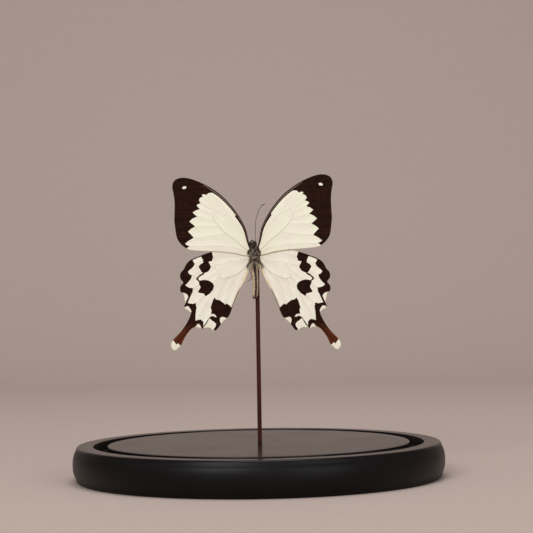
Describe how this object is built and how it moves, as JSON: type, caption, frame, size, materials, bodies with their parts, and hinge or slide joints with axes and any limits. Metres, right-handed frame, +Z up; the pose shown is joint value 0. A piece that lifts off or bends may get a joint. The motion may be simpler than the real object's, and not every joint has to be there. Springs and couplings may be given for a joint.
{
  "type": "mounted butterfly on a round dome base",
  "caption": "Spread swallowtail butterfly held upright on a thin rod in a round black turned base, whose ring groove seats a glass dome.",
  "frame": {"origin": "centre of the base's flat underside, on the surface it stands on", "axes": "+Z up the rod, from the base to the insect's head; -Y is the side the insect's back and open wings face; +X is the insect's right side"},
  "size_m": [0.2, 0.2, 0.1619],
  "materials": {
    "ebonised_wood": "satin",
    "bronze_rod": "satin",
    "body_fur": "matte",
    "dark_chitin": "satin",
    "wing": "matte"
  },
  "bodies": {
    "root": {"base": "ebonised_wood", "rod": "bronze_rod", "thorax": "body_fur", "head": "dark_chitin", "abdomen": "body_fur", "proboscis": "dark_chitin", "antenna_right": "dark_chitin", "forewing_left": "wing", "forewing_right": "wing", "hindwing_left": "wing", "hindwing_right": "wing", "leg_front_left": "dark_chitin", "leg_front_right": "dark_chitin", "leg_middle_left": "dark_chitin", "leg_middle_right": "dark_chitin", "leg_hind_left": "dark_chitin", "leg_hind_right": "dark_chitin"}
  },
  "joints": []
}
